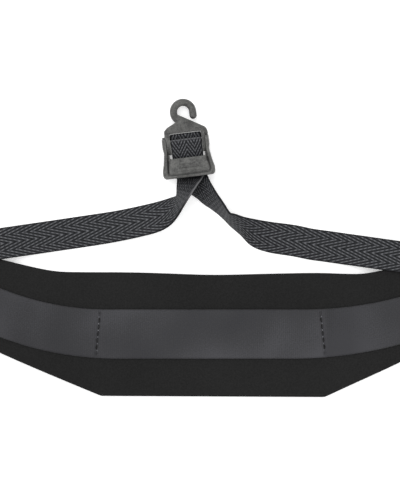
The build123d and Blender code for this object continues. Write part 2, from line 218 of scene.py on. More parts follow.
def webbingMaterial():
    material, tree, surface, place = startMaterial(
        "polypropylene_herringbone_webbing", Roughness=0.62, Specular_IOR_Level=0.14, Sheen_Weight=0.03,
        Sheen_Roughness=0.4,
    )
    strapMap = addNode(tree, "UVMap", uv_map="weave")
    split = addNode(tree, "SeparateXYZ", None, {"Vector": strapMap.outputs["UV"]})
    across, along = split.outputs["X"], split.outputs["Y"]
    zigzag = reckon(tree, "PINGPONG", across, weave["column"])
    slant = reckon(tree, "MULTIPLY_ADD", zigzag, weave["slope"], along)
    ridge = reckon(tree, "SINE", reckon(tree, "MULTIPLY", slant, 2 * math.pi / weave["pitch"]))
    yarn = reckon(tree, "SINE", reckon(tree, "MULTIPLY", along, 2 * math.pi / weave["float"]))
    bead = reckon(tree, "MULTIPLY", yarn, ridge)
    fuzz = noise(tree, place, weave["fuzz"])
    relief = reckon(tree, "MULTIPLY_ADD", bead, 0.55, ridge)
    spread = reckon(tree, "MULTIPLY_ADD", relief, 0.32, 0.5)
    speck = reckon(tree, "MULTIPLY_ADD", fuzz, 0.5, spread)
    level = reckon(tree, "SUBTRACT", speck, 0.25)
    fromMiddle = reckon(tree, "ABSOLUTE", reckon(tree, "SUBTRACT", across, weave["width"] / 2))
    selvage = addNode(tree, "MapRange", {"From Min": weave["selvage"][0], "From Max": weave["selvage"][1],
                                         "To Min": 1.0, "To Max": 0.35}, {"Value": fromMiddle})
    darkened = reckon(tree, "MULTIPLY", level, selvage.outputs[0])
    tone = colourRamp(tree, darkened, [(0.12, weave["valley"]), (0.5, weave["flank"]),
                                       (0.95, weave["ridge"])])
    # painted shade where the strands rise steeply into the buckle's mouth
    paintedMouthShade = addNode(tree, "Attribute", attribute_name="paintedMouthShade")
    shaded = addNode(tree, "Mix", {6: linear("ffffff"), 7: linear("000000")}, {0: paintedMouthShade.outputs["Fac"]},
                     data_type="RGBA")
    dimmed = addNode(tree, "Mix", {0: 1.0}, {6: tone, 7: shaded.outputs[2]},
                     data_type="RGBA", blend_type="MULTIPLY")
    # painted highlight along the left strand's raised edge near the mouth and across the fold over the pin
    highlightAndWear = addNode(tree, "Attribute", attribute_name="highlightAndWear")
    highlit = addNode(tree, "Mix", {7: linear(weave["highlightAndWear"])},
                   {0: highlightAndWear.outputs["Fac"], 6: dimmed.outputs[2]}, data_type="RGBA")
    relieve(tree, surface, relief, 0.5, weave["relief"] * mm)
    setColour(tree, surface, highlit.outputs[2])
    return material


webbing = webbingMaterial()

# Glass-filled nylon, injection moulded: warm satin grey, sandy grain, paler edges that are partly rubbed and
# partly painted highlight, and painted shade in the lever's groove and on steep sides.
nylonFinish = {
    "grit": 1300.0,    # grains along a metre; the mould's real ones are finer, these are drawn to show
    "gritDepth": 0.05,
    # the last colour is the painted shade in the lever's groove and on steep sides
    "cloud": 260.0, "paintedShade": "0c0c0c",
}


def nylonMaterial(name, body, highlightAndWear):
    material, tree, surface, place = startMaterial(name, IOR=1.53, Specular_IOR_Level=0.42)
    grit = noise(tree, place, nylonFinish["grit"])
    cloud = noise(tree, place, nylonFinish["cloud"])
    mixed = reckon(tree, "MULTIPLY_ADD", grit, 0.9, cloud)
    level = addNode(tree, "MapRange", {"From Min": 0.72, "From Max": 1.18}, {"Value": mixed})
    tone = colourRamp(tree, level.outputs[0], [(0.0, body[0]), (1.0, body[1])])
    # painted shade in the lever's groove and on steep sides
    grooveAndShade = addNode(tree, "Attribute", attribute_name="grooveAndShade")
    shadedNylon = addNode(tree, "Mix", {7: linear(nylonFinish["paintedShade"])}, {0: grooveAndShade.outputs["Fac"], 6: tone},
                    data_type="RGBA")
    # paler edges: partly rubbed, partly painted highlight
    edge = addNode(tree, "Attribute", attribute_name="highlightAndWear")
    highlit = addNode(tree, "Mix", {7: linear(highlightAndWear)}, {0: edge.outputs["Fac"], 6: shadedNylon.outputs[2]},
                   data_type="RGBA")
    gloss = addNode(tree, "MapRange", {"From Min": 0.3, "From Max": 0.7, "To Min": 0.4, "To Max": 0.54},
                    {"Value": cloud})
    relieve(tree, surface, grit, 0.28, nylonFinish["gritDepth"] * mm)
    setColour(tree, surface, highlit.outputs[2], gloss.outputs[0])
    return material


# the last colour of each is its paler edge: partly rubbed, partly painted highlight
frameNylon = nylonMaterial("moulded_nylon_frame", ("1f1f1e", "535351"), "757572")
leverNylon = nylonMaterial("moulded_nylon_lever", ("282827", "585856"), "8c8c89")


# Blackened steel rod: dark, half shiny, with fine turning marks.
def steelMaterial():
    material, tree, surface, place = startMaterial("blackened_steel", Metallic=1.0)
    marks = noise(tree, place, 1800.0, 2.0)  # fine turning marks, about 0.5 mm apart
    tone = colourRamp(tree, marks, [(0.3, "3a3a3c"), (0.7, "5c5c60")])
    gloss = addNode(tree, "MapRange", {"To Min": 0.3, "To Max": 0.5}, {"Value": marks})
    setColour(tree, surface, tone, gloss.outputs[0])
    return material


pinSteel = steelMaterial()


# Bonded polyester thread: two-ply twist, slightly waxy.
threadTwist = 0.5  # from one turn of the plies to the next


def threadMaterial(name, dark, light):
    material, tree, surface, place = startMaterial(name, Roughness=0.5, Specular_IOR_Level=0.35)
    twist = addNode(tree, "TexWave", {"Scale": 1000 / threadTwist / 6.28, "Distortion": 0.5},
                    {"Vector": place}, bands_direction="DIAGONAL")
    tone = colourRamp(tree, twist.outputs["Fac"], [(0.1, dark), (0.9, light)])
    relieve(tree, surface, twist.outputs["Fac"], 0.6, 0.06 * mm)
    setColour(tree, surface, tone)
    return material


darkThread = threadMaterial("bonded_thread_black", "0f0f11", "232326")
# pale thread painted as the highlight that shows between the seam stitches
highlightThread = threadMaterial("thread_painted_highlight", "55555a", "7b7b80")
elasticRubber = jerseyMaterial("elastic_tape_woven", {**jerseyFinish, "wale": 1.1, "grain": 0.25})


# a mesh object from millimetre points, with a material for each face and a map in millimetres if given
def buildPiece(name, points, faces, materials, body="strap", faceMaterials=None, strapMap=None):
    mesh = bpy.data.meshes.new(name)
    mesh.from_pydata((np.asarray(points, float) * mm).tolist(), [], [list(map(int, f)) for f in faces])
    for material in materials:
        mesh.materials.append(material)
    if faceMaterials is not None:
        mesh.polygons.foreach_set("material_index", np.asarray(faceMaterials, np.int32))
    if strapMap is not None:
        corners = np.empty(len(mesh.loops), np.int32)
        mesh.loops.foreach_get("vertex_index", corners)
        layer = mesh.uv_layers.new(name="weave")
        layer.data.foreach_set("uv", np.asarray(strapMap, np.float32)[corners].ravel())
    tidy = bmesh.new()
    tidy.from_mesh(mesh)
    bmesh.ops.recalc_face_normals(tidy, faces=tidy.faces)
    tidy.to_mesh(mesh)
    tidy.free()
    mesh.shade_smooth()
    piece = newObject(name, mesh)
    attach(piece, body)
    return piece


# a natural cubic spline through the knots, sampled evenly; lengths are taken over the first columns
def smoothLine(knots, count, spaceColumns=2):
    knots = np.asarray(knots, float)
    gaps = np.linalg.norm(np.diff(knots[:, :spaceColumns], axis=0), axis=1)
    stops = np.concatenate([[0], np.cumsum(gaps)])
    last = len(knots) - 1
    system = np.eye(last + 1)
    right = np.zeros_like(knots)
    for i in range(1, last):
        system[i, i - 1:i + 2] = gaps[i - 1], 2 * (gaps[i - 1] + gaps[i]), gaps[i]
        right[i] = 6 * ((knots[i + 1] - knots[i]) / gaps[i] - (knots[i] - knots[i - 1]) / gaps[i - 1])
    curve = np.linalg.solve(system, right)
    at = np.linspace(0, stops[-1], count)
    i = np.clip(np.searchsorted(stops, at, side="right") - 1, 0, last - 1)
    span, done = gaps[i][:, None], (at - stops[i])[:, None]
    left = span - done
    return ((curve[i] * left ** 3 + curve[i + 1] * done ** 3) / (6 * span)
            + (knots[i] / span - curve[i] * span / 6) * left
            + (knots[i + 1] / span - curve[i + 1] * span / 6) * done)


# points at the given shares of a line's length
def pickAlong(line, shares):
    steps = np.concatenate([[0], np.cumsum(np.linalg.norm(np.diff(line, axis=0), axis=1))])
    places = np.asarray(shares) * steps[-1]
    return np.stack([np.interp(places, steps, line[:, k]) for k in range(line.shape[1])], 1)


def straightLine(start, finish, count=60):
    share = np.linspace(0, 1, count)[:, None]
    return np.asarray(start, float) * (1 - share) + np.asarray(finish, float) * share


# writes one number per vertex for the shaders
def paint(piece, name, numbers):
    layer = piece.data.attributes.new(name, "FLOAT", "POINT")
    layer.data.foreach_set("value", np.asarray(numbers, np.float32))


print("neck pad")

pad = {
    "straightHalf": 56.0,
    "bendLeft": 188.0, "bendRight": 244.0, "endArc": 120.0,
    "cornerLeft": (-63.3, -37.7), "cornerRight": (72.9, -38.4),
    "upperEdge": [
        (131, 43.2), (107, 38.6), (96, 36.8), (85, 36.7), (74, 37.1), (52, 37), (30, 36.5), (6, 36.05),
        (-20, 36.8), (-50, 37.6), (-80, 37.75), (-91, 38.3), (-102, 40.2), (-113, 42.7), (-132, 47.3),
    ],
    "lowerLeft": [(-156, 4.5), (-124, -11.9), (-91, -26.2)],
    "lowerRight": [(96, -27.8), (118, -17.6), (154, 0.4)],
    "endReach": (-20, 19),  # the ends' lower and upper corner, measured from the pad's middle line
    "lining": 0.6, "foam": 4.0, "face": 0.6,
    "corner": 5.0,
    "faceRound": 1.1, "faceRim": 0.08, "faceDip": 0.1,
    "liningRound": 0.7, "liningLift": 0.35,
    "foamDraw": 0.16, "foamBulge": 0.2,
    "edgeSteps": [0, 0.12, 0.3, 0.55, 0.85, 1.3, 2.0, 3.0],   # finer towards the rounded edge
    "columns": 260, "rows": 52,
}
faceTop = pad["lining"] + pad["foam"] + pad["face"]


# a point of the raised ends: arc along the centre line, offset towards the hook
def endPoint(side, arc, offset=0.0):
    bend = pad["bendLeft"] if side < 0 else pad["bendRight"]
    turn = arc / bend
    x = pad["straightHalf"] + (bend - offset) * math.sin(turn)
    return (side * x, bend - (bend - offset) * math.cos(turn))


# the six sides of the outline, each corner replaced by a round; returns the four edges of a quad patch
def padEdges():
    leftLow, leftHigh = (endPoint(-1, pad["endArc"], offset) for offset in pad["endReach"])
    rightLow, rightHigh = (endPoint(1, pad["endArc"], offset) for offset in pad["endReach"])
    sides = [
        smoothLine([leftLow, *pad["lowerLeft"], pad["cornerLeft"]], 260),
        straightLine(pad["cornerLeft"], pad["cornerRight"], 200),
        smoothLine([pad["cornerRight"], *pad["lowerRight"], rightLow], 260),
        straightLine(rightLow, rightHigh, 80),
        smoothLine([rightHigh, *pad["upperEdge"], leftHigh], 700),
        straightLine(leftHigh, leftLow, 80),
    ]
    corners = []
    for i in range(6):
        before, after = sides[i - 1], sides[i]
        goingIn = (before[-1] - before[-4]) / np.linalg.norm(before[-1] - before[-4])
        goingOut = (after[3] - after[0]) / np.linalg.norm(after[3] - after[0])
        turn = math.acos(float(np.clip(goingIn @ goingOut, -1, 1)))
        back = pad["corner"] * math.tan(turn / 2)
        tip = after[0].copy()
        t = np.linspace(0, 1, 25)[:, None]
        corners.append((1 - t) ** 2 * (tip - goingIn * back) + 2 * t * (1 - t) * tip
                       + t ** 2 * (tip + goingOut * back))
        sides[i - 1] = before[np.linalg.norm(before - tip, axis=1) > back]
        sides[i] = after[np.linalg.norm(after - tip, axis=1) > back]
    lower = np.vstack([corners[0][12:], sides[0], corners[1], sides[1], corners[2], sides[2],
                       corners[3][:13]])
    rightTip = np.vstack([corners[3][12:], sides[3], corners[4][:13]])
    upper = np.vstack([corners[4][12:], sides[4], corners[5][:13]])[::-1]
    leftTip = np.vstack([corners[5][12:], sides[5], corners[0][:13]])[::-1]
    return lower, upper, leftTip, rightTip


def clusteredShares(length, steps, count):
    steps = np.asarray(steps) / length
    return np.concatenate([steps, np.linspace(steps[-1], 1 - steps[-1], count + 2)[1:-1], 1 - steps[::-1]])


def lineLength(line):
    return float(np.linalg.norm(np.diff(line, axis=0), axis=1).sum())


# a grid of quads that fills the outline, with its lines crowded along the edge
def padGrid(edgeSteps, columns, rows):
    lower, upper, leftTip, rightTip = padEdges()
    s = clusteredShares(lineLength(upper), edgeSteps, columns)
    t = clusteredShares(2 * abs(pad["cornerLeft"][1]), edgeSteps, rows)
    low, high = pickAlong(lower, s), pickAlong(upper, s)
    left, right = pickAlong(leftTip, t), pickAlong(rightTip, t)
    s, t = s[:, None, None], t[None, :, None]
    ruled = (1 - t) * low[:, None] + t * high[:, None] + (1 - s) * left[None] + s * right[None]
    corner = ((1 - s) * (1 - t) * low[0] + s * (1 - t) * low[-1] + (1 - s) * t * high[0] + s * t * high[-1])
    return ruled - corner


# how far each grid point is from the outline
def edgeDistance(grid):
    ring = np.vstack([grid[:, 0], grid[-1, 1:], grid[-2::-1, -1], grid[0, -2:0:-1]])
    starts, ways = ring, np.roll(ring, -1, 0) - ring
    squares = (ways ** 2).sum(1) + 1e-12
    flat = grid.reshape(-1, 2)
    best = np.empty(len(flat))
    for first in range(0, len(flat), 1500):
        part = flat[first:first + 1500, None] - starts[None]
        share = np.clip((part * ways).sum(2) / squares, 0, 1)
        best[first:first + 1500] = np.sqrt(((part - share[..., None] * ways) ** 2).sum(2).min(1))
    return best.reshape(grid.shape[:2])


# the quads of a grid of points, and the round of points along its border
def gridFaces(columns, rows):
    index = np.arange(columns * rows).reshape(columns, rows)
    quads = np.stack([index[:-1, :-1], index[1:, :-1], index[1:, 1:], index[:-1, 1:]], -1).reshape(-1, 4)
    return quads, np.concatenate([index[:, 0], index[-1, 1:], index[-2::-1, -1], index[0, -2:0:-1]])


# the grid as a closed layer; rimRings gives (share of the height, how far out) for the rings of its edge
def padLayer(name, grid, lowZ, highZ, material, rimRings=()):
    columns, rows = grid.shape[:2]
    count = columns * rows
    top = np.dstack([grid, highZ]).reshape(-1, 3)
    bottom = np.dstack([grid, lowZ]).reshape(-1, 3)
    quads, ring = gridFaces(columns, rows)
    ahead = np.roll(top[ring], -1, 0)[:, :2] - np.roll(top[ring], 1, 0)[:, :2]
    outward = np.stack([ahead[:, 1], -ahead[:, 0]], 1) / np.linalg.norm(ahead, axis=1)[:, None]
    points, rings = [top, bottom], [ring]
    for share, out in rimRings:
        level = top[ring] * (1 - share) + bottom[ring] * share
        level[:, :2] += outward * out
        rings.append(np.arange(len(ring)) + sum(len(p) for p in points))
        points.append(level)
    rings.append(ring + count)
    faces = [quads, quads[:, ::-1] + count]
    for upperRing, lowerRing in zip(rings[:-1], rings[1:]):
        faces.append(np.stack([upperRing, lowerRing, np.roll(lowerRing, -1), np.roll(upperRing, -1)], 1))
    return buildPiece(name, np.vstack(points), np.vstack(faces), [material])


# quarter-round rise from 0 at the edge to 1 at the radius
def roundRise(distance, radius):
    return np.sqrt(np.clip(1 - (1 - np.clip(distance / radius, 0, 1)) ** 2, 0, 1))


fineGrid = padGrid(pad["edgeSteps"], pad["columns"], pad["rows"])
fromEdge = edgeDistance(fineGrid)
coarseGrid = padGrid([0, 1.2, 3.0], pad["columns"], 26)

faceHigh = (faceTop - (pad["face"] - pad["faceRim"]) * (1 - roundRise(fromEdge, pad["faceRound"]))
            - pad["faceDip"] * np.exp(-fromEdge / 2.5))
neckFace = padLayer("neck_face", fineGrid, np.full(fromEdge.shape, faceTop - pad["face"]), faceHigh,
                    nylonJersey)
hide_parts("pad_face")

flat = np.ones(coarseGrid.shape[:2])
foamRings = [(share, -pad["foamDraw"] + pad["foamBulge"] * math.sin(math.pi * share))
             for share in np.linspace(0.06, 0.94, 9)]
neckFoam = padLayer("neck_foam", coarseGrid, flat * pad["lining"], flat * (pad["lining"] + pad["foam"]),
                    neoprene, foamRings)
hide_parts("pad_foam")

liningLow = pad["liningLift"] * (1 - roundRise(fromEdge, pad["liningRound"]))
neckLining = padLayer("neck_lining", fineGrid, liningLow, np.full(fromEdge.shape, pad["lining"]),
                      liningJersey)
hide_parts("pad_lining")

print("band")

band = {
    # how much painted shade darkens the band at each x, where it curves past the right seam and towards the
    # left end
    "bandPaintedShade": [(-125, 0.2), (-95, 0.14), (-66, 0.05), (-40, 0.0), (65, 0.0), (71, 0.02), (75, 0.3),
            (88, 0.28), (105, 0.04)],
    "width": 30.0, "endWidth": 26.4, "height": 1.5, "endArc": 114.0,
    "edgeRound": 1.3, "cloth": 0.42,
    "crown": 0.12,
    "seams": ((-64.4, -65.9), (70.8, 72.5)),  # x of each seam at the band's upper and lower edge
    "seamDip": 0.75, "seamReach": 0.85,
    "pucker": 0.09, "puckerReach": 3.5,
    "stitchPitch": 4.1, "stitches": 7,
    # half length, thickness and rise of the black stitches and of the pale thread dots painted as the
    # highlight between them
    "lockStitch": (1.15, 0.3, 0.12), "highlightDot": (0.38, 0.24, 0.05),
    "step": 0.5, "acrossSteps": 64,
}


def bandPoint(along, offset):
    reach = abs(along) - pad["straightHalf"]
    return (along, offset) if reach <= 0 else endPoint(math.copysign(1, along), reach, offset)


# half the band's width; it narrows over the raised ends
def bandHalf(along):
    reach = np.clip(np.abs(along) - pad["straightHalf"], 0, None) / band["endArc"]
    return (band["width"] + (band["endWidth"] - band["width"]) * reach) / 2


def seamX(seam, offset):
    share = (offset + band["width"] / 2) / band["width"]
    return seam[1] * (1 - share) + seam[0] * share


# height of the band's outer side over the pad's face
def bandHeight(along, offset):
    fromSide = bandHalf(along) - np.abs(offset)
    rise = roundRise(fromSide, band["edgeRound"]) * band["height"]
    rise = rise + band["crown"] * (1 - (2 * offset / band["width"]) ** 2)
    for seam in band["seams"]:
        away = along - seamX(seam, offset)
        dip = np.exp(-(away / band["seamReach"]) ** 2)
        gather = 0.5 + 0.5 * np.cos(2 * np.pi * offset / band["stitchPitch"])
        rise = rise - rise * dip * band["seamDip"] * (0.55 + 0.45 * gather)
        pucker = np.exp(-np.abs(away) / band["puckerReach"]) * (1 - dip)
        rise = rise + band["pucker"] * pucker * np.cos(2 * np.pi * offset / band["stitchPitch"] + 0.8)
    return rise


def buildBand():
    reach = pad["straightHalf"] + band["endArc"]
    alongs = np.arange(-reach, reach + 0.01, band["step"])
    angles = np.linspace(-1, 1, band["acrossSteps"])
    shares = np.sin(angles * math.pi / 2) * 0.35 + angles * 0.65
    along, share = np.meshgrid(alongs, shares, indexing="ij")
    offset = share * bandHalf(along)
    flatPoints = np.array([[bandPoint(a, o) for o in row] for a, row in zip(alongs, offset)])
    rise = bandHeight(along, offset)
    outer = np.dstack([flatPoints, faceTop + 0.02 + rise])
    inner = np.dstack([flatPoints, faceTop + 0.01 + np.clip(rise - band["cloth"], 0, None)])
    columns, rows = along.shape
    count = columns * rows
    quads, ring = gridFaces(columns, rows)
    rim = np.stack([ring, ring + count, np.roll(ring + count, -1), np.roll(ring, -1)], 1)
    points = np.vstack([outer.reshape(-1, 3), inner.reshape(-1, 3)])
    piece = buildPiece("band_knit_cover", points, np.vstack([quads, quads[:, ::-1] + count, rim]), [bandKnit])
    # painted shade along the band, darker past the right seam and towards the left end
    places, depths = zip(*band["bandPaintedShade"])
    paint(piece, "bandPaintedShade", np.interp(np.asarray(points)[:, 0], places, depths))
    return piece


bandCover = buildBand()
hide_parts("band_cover")
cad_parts["stretch_webbing"].data.materials.clear()
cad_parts["stretch_webbing"].data.materials.append(elasticRubber)


# a stitch: a thread that comes up, lies on the cloth and goes down again
def stitchTube(start, finish, radius, rise, sides=8, steps=9):
    start, finish = np.asarray(start, float), np.asarray(finish, float)
    along = (finish - start) / np.linalg.norm(finish - start)
    up = np.array([0, 0, 1.0])
    side = np.cross(along, up)
    points, faces = [], []
    for i in range(steps):
        share = i / (steps - 1)
        lift = math.sin(math.pi * share) ** 0.5
        centre = start + (finish - start) * share + up * (lift * rise - (1 - lift) * radius)
        size = radius * (0.55 + 0.45 * lift)
        for k in range(sides):
            turn = 2 * math.pi * k / sides
            points.append(centre + side * math.cos(turn) * size + up * math.sin(turn) * size)
        if i:
            for k in range(sides):
                a, b = (i - 1) * sides + k, (i - 1) * sides + (k + 1) % sides
                faces.append([a, b, b + sides, a + sides])
    faces.append(list(range(sides))[::-1])
    faces.append(list(range((steps - 1) * sides, steps * sides)))
    return points, faces


def buildStitches(name, runs, materials):
    points, faces, kinds = [], [], []
    for start, finish, radius, rise, kind in runs:
        more, moreFaces = stitchTube(start, finish, radius, rise)
        faces += [[i + len(points) for i in f] for f in moreFaces]
        kinds += [kind] * len(moreFaces)
        points += more
    return buildPiece(name, points, faces, materials, faceMaterials=kinds)


# black lock stitches in the dip of the seam, with a pale thread dot between each two, painted as a highlight
(lockHalf, lockThick, lockRise), (dotHalf, dotThick, dotRise) = band["lockStitch"], band["highlightDot"]
for label, seam in zip(("left", "right"), band["seams"]):
    runs = []
    for number in range(band["stitches"]):
        middle = ((band["stitches"] - 1) / 2 - number) * band["stitchPitch"]
        ends = []
        for offset in (middle + lockHalf, middle - lockHalf):
            x = seamX(seam, offset)
            ends.append((x, bandPoint(x, offset)[1], faceTop + 0.05 + float(bandHeight(x, offset))))
        runs.append((ends[0], ends[1], lockThick, lockRise, 0))
        # the pale dot between two stitches: a painted highlight
        if number < band["stitches"] - 1:
            spot = middle - band["stitchPitch"] / 2
            x = seamX(seam, spot)
            level = faceTop + 0.1 + float(bandHeight(x, spot))
            place = bandPoint(x, spot)
            runs.append(((x, place[1] + dotHalf, level), (x, place[1] - dotHalf, level),
                         dotThick, dotRise, 1))
    seamThread = buildStitches(f"seam_thread_{label}", runs, [darkThread, highlightThread])
    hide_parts(f"band_stitches_{label}")

print("webbing")

buckle = {"origin": (-9.6, 98.6), "tilt": 7.0, "pinV": 18.4, "pinW": 6.4, "barV": 21.8, "barW": 2.45}
strand = {
    "across": 58, "rowStep": 0.42, "edgeRound": 0.5, "edgeThin": 0.16,
    "webbingU": 0.4, "legLow": 6.9, "foldGap": 0.1, "legLength": 42.0, "flatRun": 14.0,
    "wrap": 1.65,
    "mouthHeights": (2.6, 0.8),  # left and right strand where they enter the buckle
    "join": 5.0,                 # how far inside the path round the bars takes over
    "leftTail": (7.0, 3.2), "rightTail": [(15.0, 2.2), (11.5, 2.2)],
    "plainEdge": 0.8,
    # the weave packs closer inside: row steps from the join, and how much closer
    "packing": ([-90, -30, 0], [1, 1.2, 1.7]),
    # millimetres before the mouth, and how much painted shade darkens the webbing there, where the strands
    # rise steeply; then the width and reach of the painted highlight along the raised edge
    "paintedMouthShade": ([-2, 0, 12, 30], [0, 1, 0.85, 0]),
    "highlightWidth": 0.9, "highlightReach": ([2, 6, 26, 34], [0, 1, 1, 0]),
    # where the painted highlight runs across the fold over the pin, and how far it spreads
    "foldPlace": 26.0, "foldHighlight": 1.2,
}
tilt = math.radians(buckle["tilt"])
buckleX = np.array([math.cos(tilt), math.sin(tilt), 0])
buckleY = np.array([-math.sin(tilt), math.cos(tilt), 0])


def bucklePoint(u, v, w=0.0):
    return np.array([*buckle["origin"], 0]) + buckleX * u + buckleY * v + np.array([0, 0, w])


def unit(heading):
    return np.array([math.cos(math.radians(heading)), math.sin(math.radians(heading)), 0])


def tangentPoint(centre, radius, point, turn):
    dx, dy = point[0] - centre[0], point[1] - centre[1]
    angle = math.atan2(dy, dx) + turn * math.acos(radius / math.hypot(dx, dy))
    return (centre[0] + radius * math.cos(angle), centre[1] + radius * math.sin(angle))


# the strap's middle surface over the sewn leg and round the fold at the pad's tip
def foldedRows(legHeading, fold, heading, across):
    legWay = unit(legHeading)
    strandWay = unit(heading)
    crease = (legWay + strandWay) / np.linalg.norm(legWay + strandWay)
    outward = legWay - crease * (legWay @ crease)
    outward /= np.linalg.norm(outward)
    sideways = np.array([-legWay[1], legWay[0], 0])
    radius = (weave["thickness"] + strand["foldGap"]) / 2
    steps = np.concatenate([np.arange(-strand["legLength"], -6, strand["rowStep"]), np.arange(-6, 6, 0.2),
                            np.arange(6, strand["flatRun"] - 0.3, strand["rowStep"])])
    points = (np.array([*fold, 0]) + legWay * steps[:, None, None] + sideways * across[None, :, None])
    beyond = (points - np.array([*fold, 0])) @ outward + math.pi * radius / 2
    angle = np.clip(beyond / radius, 0, math.pi)
    reach = np.where(beyond < 0, beyond, np.where(beyond > math.pi * radius, math.pi * radius - beyond,
                                                  radius * np.sin(angle)))
    points += outward * (reach - beyond)[..., None]
    points[..., 2] = strand["legLow"] + weave["thickness"] / 2 + radius * (1 - np.cos(angle))
    return points, strand["legLow"] + weave["thickness"] / 2 + 2 * radius


# the strap's middle surface through rows that give its left and right edge points
def strandRows(edges, across):
    edges = np.asarray(edges, float)
    middle, reach = (edges[:, :3] + edges[:, 3:]) / 2, (edges[:, 3:] - edges[:, :3]) / 2
    length = float(np.linalg.norm(np.diff(middle, axis=0), axis=1).sum())
    line = smoothLine(np.hstack([middle, reach]), int(length / strand["rowStep"]), 3)
    return line[:, None, :3] + line[:, None, 3:] * (across / (weave["width"] / 2))[None, :, None]


def levelRow(x, y, z, heading):
    half = np.cross(unit(heading), (0, 0, 1)) * weave["width"] / 2
    return [*(np.array([x, y, z]) - half), *(np.array([x, y, z]) + half)]


# the strap's middle surface along a path of (v, w) points inside the buckle
def buckleRows(path, across):
    path = pickAlong(np.asarray(path), np.linspace(0, 1, int(lineLength(np.asarray(path)) / 0.25)))
    middle = np.array([bucklePoint(strand["webbingU"], v, w) for v, w in path])
    return middle[:, None] + buckleX * across[None, :, None]


# herringbone ridges, rising 0 to 1
def ridgeHeight(across, along):
    shifted = across + weave["width"] / 2
    zigzag = weave["column"] - np.abs(shifted % (2 * weave["column"]) - weave["column"])
    wave = 0.5 + 0.5 * np.sin(2 * np.pi * (along + weave["slope"] * zigzag) / weave["pitch"])
    return wave ** 0.8


# the parts are its rows on the leg, on the strand and in the buckle, where the weave packs closer
def buildStrap(name, parts, across, mouthShadeDepth, raisedEdge):
    rows = np.concatenate(parts)
    ends = np.linalg.norm(np.diff(rows[:, len(across) // 2], axis=0), axis=1)
    inBuckle = np.arange(1, len(rows)) - (len(rows) - len(parts[2]))
    packed = np.interp(inBuckle, *strand["packing"])
    along = np.concatenate([[0], np.cumsum(ends * packed)])
    normals = np.cross(np.gradient(rows, axis=0), np.gradient(rows, axis=1))
    normals /= np.linalg.norm(normals, axis=2)[..., None]
    fromSide = weave["width"] / 2 - np.abs(across)
    half = (weave["thickness"] - weave["relief"]) / 2
    thick = strand["edgeThin"] + (half - strand["edgeThin"]) * roundRise(fromSide, strand["edgeRound"])
    fade = np.clip(fromSide / strand["plainEdge"], 0, 1)
    ridges = ridgeHeight(across[None], along[:, None]) * fade * weave["relief"]
    backRidges = ridgeHeight(across[None], along[:, None] + weave["pitch"] / 2) * fade * weave["relief"]
    top = rows + normals * (thick + ridges)[..., None]
    bottom = rows - normals * (thick + backRidges)[..., None]
    count, wide = rows.shape[:2]
    points = np.concatenate([top, bottom[:, ::-1]], axis=1).reshape(-1, 3)
    u = np.concatenate([across, across[::-1]]) + weave["width"] / 2
    strapMap = np.stack([np.tile(u, count), np.repeat(along, 2 * wide)], 1)
    ring = np.arange(2 * wide)
    first = np.arange(count - 1)[:, None] * 2 * wide
    nextOne = np.roll(ring, -1)
    sides = np.stack([first + ring, first + nextOne, first + nextOne + 2 * wide, first + ring + 2 * wide], -1)
    faces = sides.reshape(-1, 4)
    caps = np.array([[i, i + 1, 2 * wide - 2 - i, 2 * wide - 1 - i] for i in range(wide - 1)])
    faces = np.vstack([faces, caps, caps + (count - 1) * 2 * wide])
    piece = buildPiece(name, points, faces, [webbing], strapMap=strapMap)
    toMouth = along[len(rows) - len(parts[2])] - along
    # painted shade near the buckle's mouth, where the strands rise steeply
    paintedMouthShade = np.interp(toMouth, *strand["paintedMouthShade"]) * mouthShadeDepth
    paint(piece, "paintedMouthShade", np.repeat(paintedMouthShade, 2 * wide))
    # painted highlight along the raised edge near the mouth, and across the fold over the pin
    nearEdge = np.clip(1 - np.abs(across - raisedEdge) / strand["highlightWidth"], 0, 1)
    nearEdge = nearEdge * np.interp(toMouth, *strand["highlightReach"])[:, None]
    foldSpan = np.array([-strand["foldHighlight"], 0, strand["foldHighlight"]]) - strand["foldPlace"]
    bent = np.interp(toMouth, foldSpan, [0, 0.45, 0])
    highlightAndWear = np.maximum(nearEdge * 0.75, bent[:, None])
    paint(piece, "highlightAndWear", np.concatenate([highlightAndWear, highlightAndWear[:, ::-1]], axis=1).ravel())
    return piece


halfWidth = weave["width"] / 2
spread = np.linspace(-1, 1, strand["across"])
acrossPlaces = np.sign(spread) * halfWidth * (1 - (1 - np.abs(spread)) ** 1.12)

# each end: fold point, heading of the strand and of the leg sewn on the pad
leftEnd = {"fold": (-182.2, 46.5), "heading": 8.4, "leg": 146.0}
rightEnd = {"fold": (187.4, 37.3), "heading": 171.9, "leg": 27.0}


# level rows down from the fold to the table, from pairs of x and height
def levelRows(end, start, places):
    first = np.array([*end["fold"], 0]) + unit(end["heading"]) * strand["flatRun"]
    slope = math.tan(math.radians(end["heading"]))
    rows = [levelRow(first[0], first[1], start, end["heading"])]
    for x, z in places:
        rows.append(levelRow(x, end["fold"][1] + (x - end["fold"][0]) * slope, z, end["heading"]))
    return rows


pinCentre, barCentre = (buckle["pinV"], buckle["pinW"]), (buckle["barV"], buckle["barW"])
mouthLeft, mouthRight = strand["mouthHeights"]
frontLeft = tangentPoint(pinCentre, strand["wrap"], (0, mouthLeft), -1)
backLeft = tangentPoint(pinCentre, strand["wrap"], strand["leftTail"], 1)
frontRight = tangentPoint(barCentre, strand["wrap"], strand["rightTail"][0], -1)


# points of the wrap round a bar, from one angle to the other, turning clockwise in (v, w)
def wrapArc(centre, start, finish, sign):
    a = math.atan2(start[1] - centre[1], start[0] - centre[0])
    b = math.atan2(finish[1] - centre[1], finish[0] - centre[0])
    while sign * (b - a) < 0:
        b += sign * 2 * math.pi
    return [(centre[0] + strand["wrap"] * math.cos(t), centre[1] + strand["wrap"] * math.sin(t))
            for t in np.linspace(a, b, 24)]


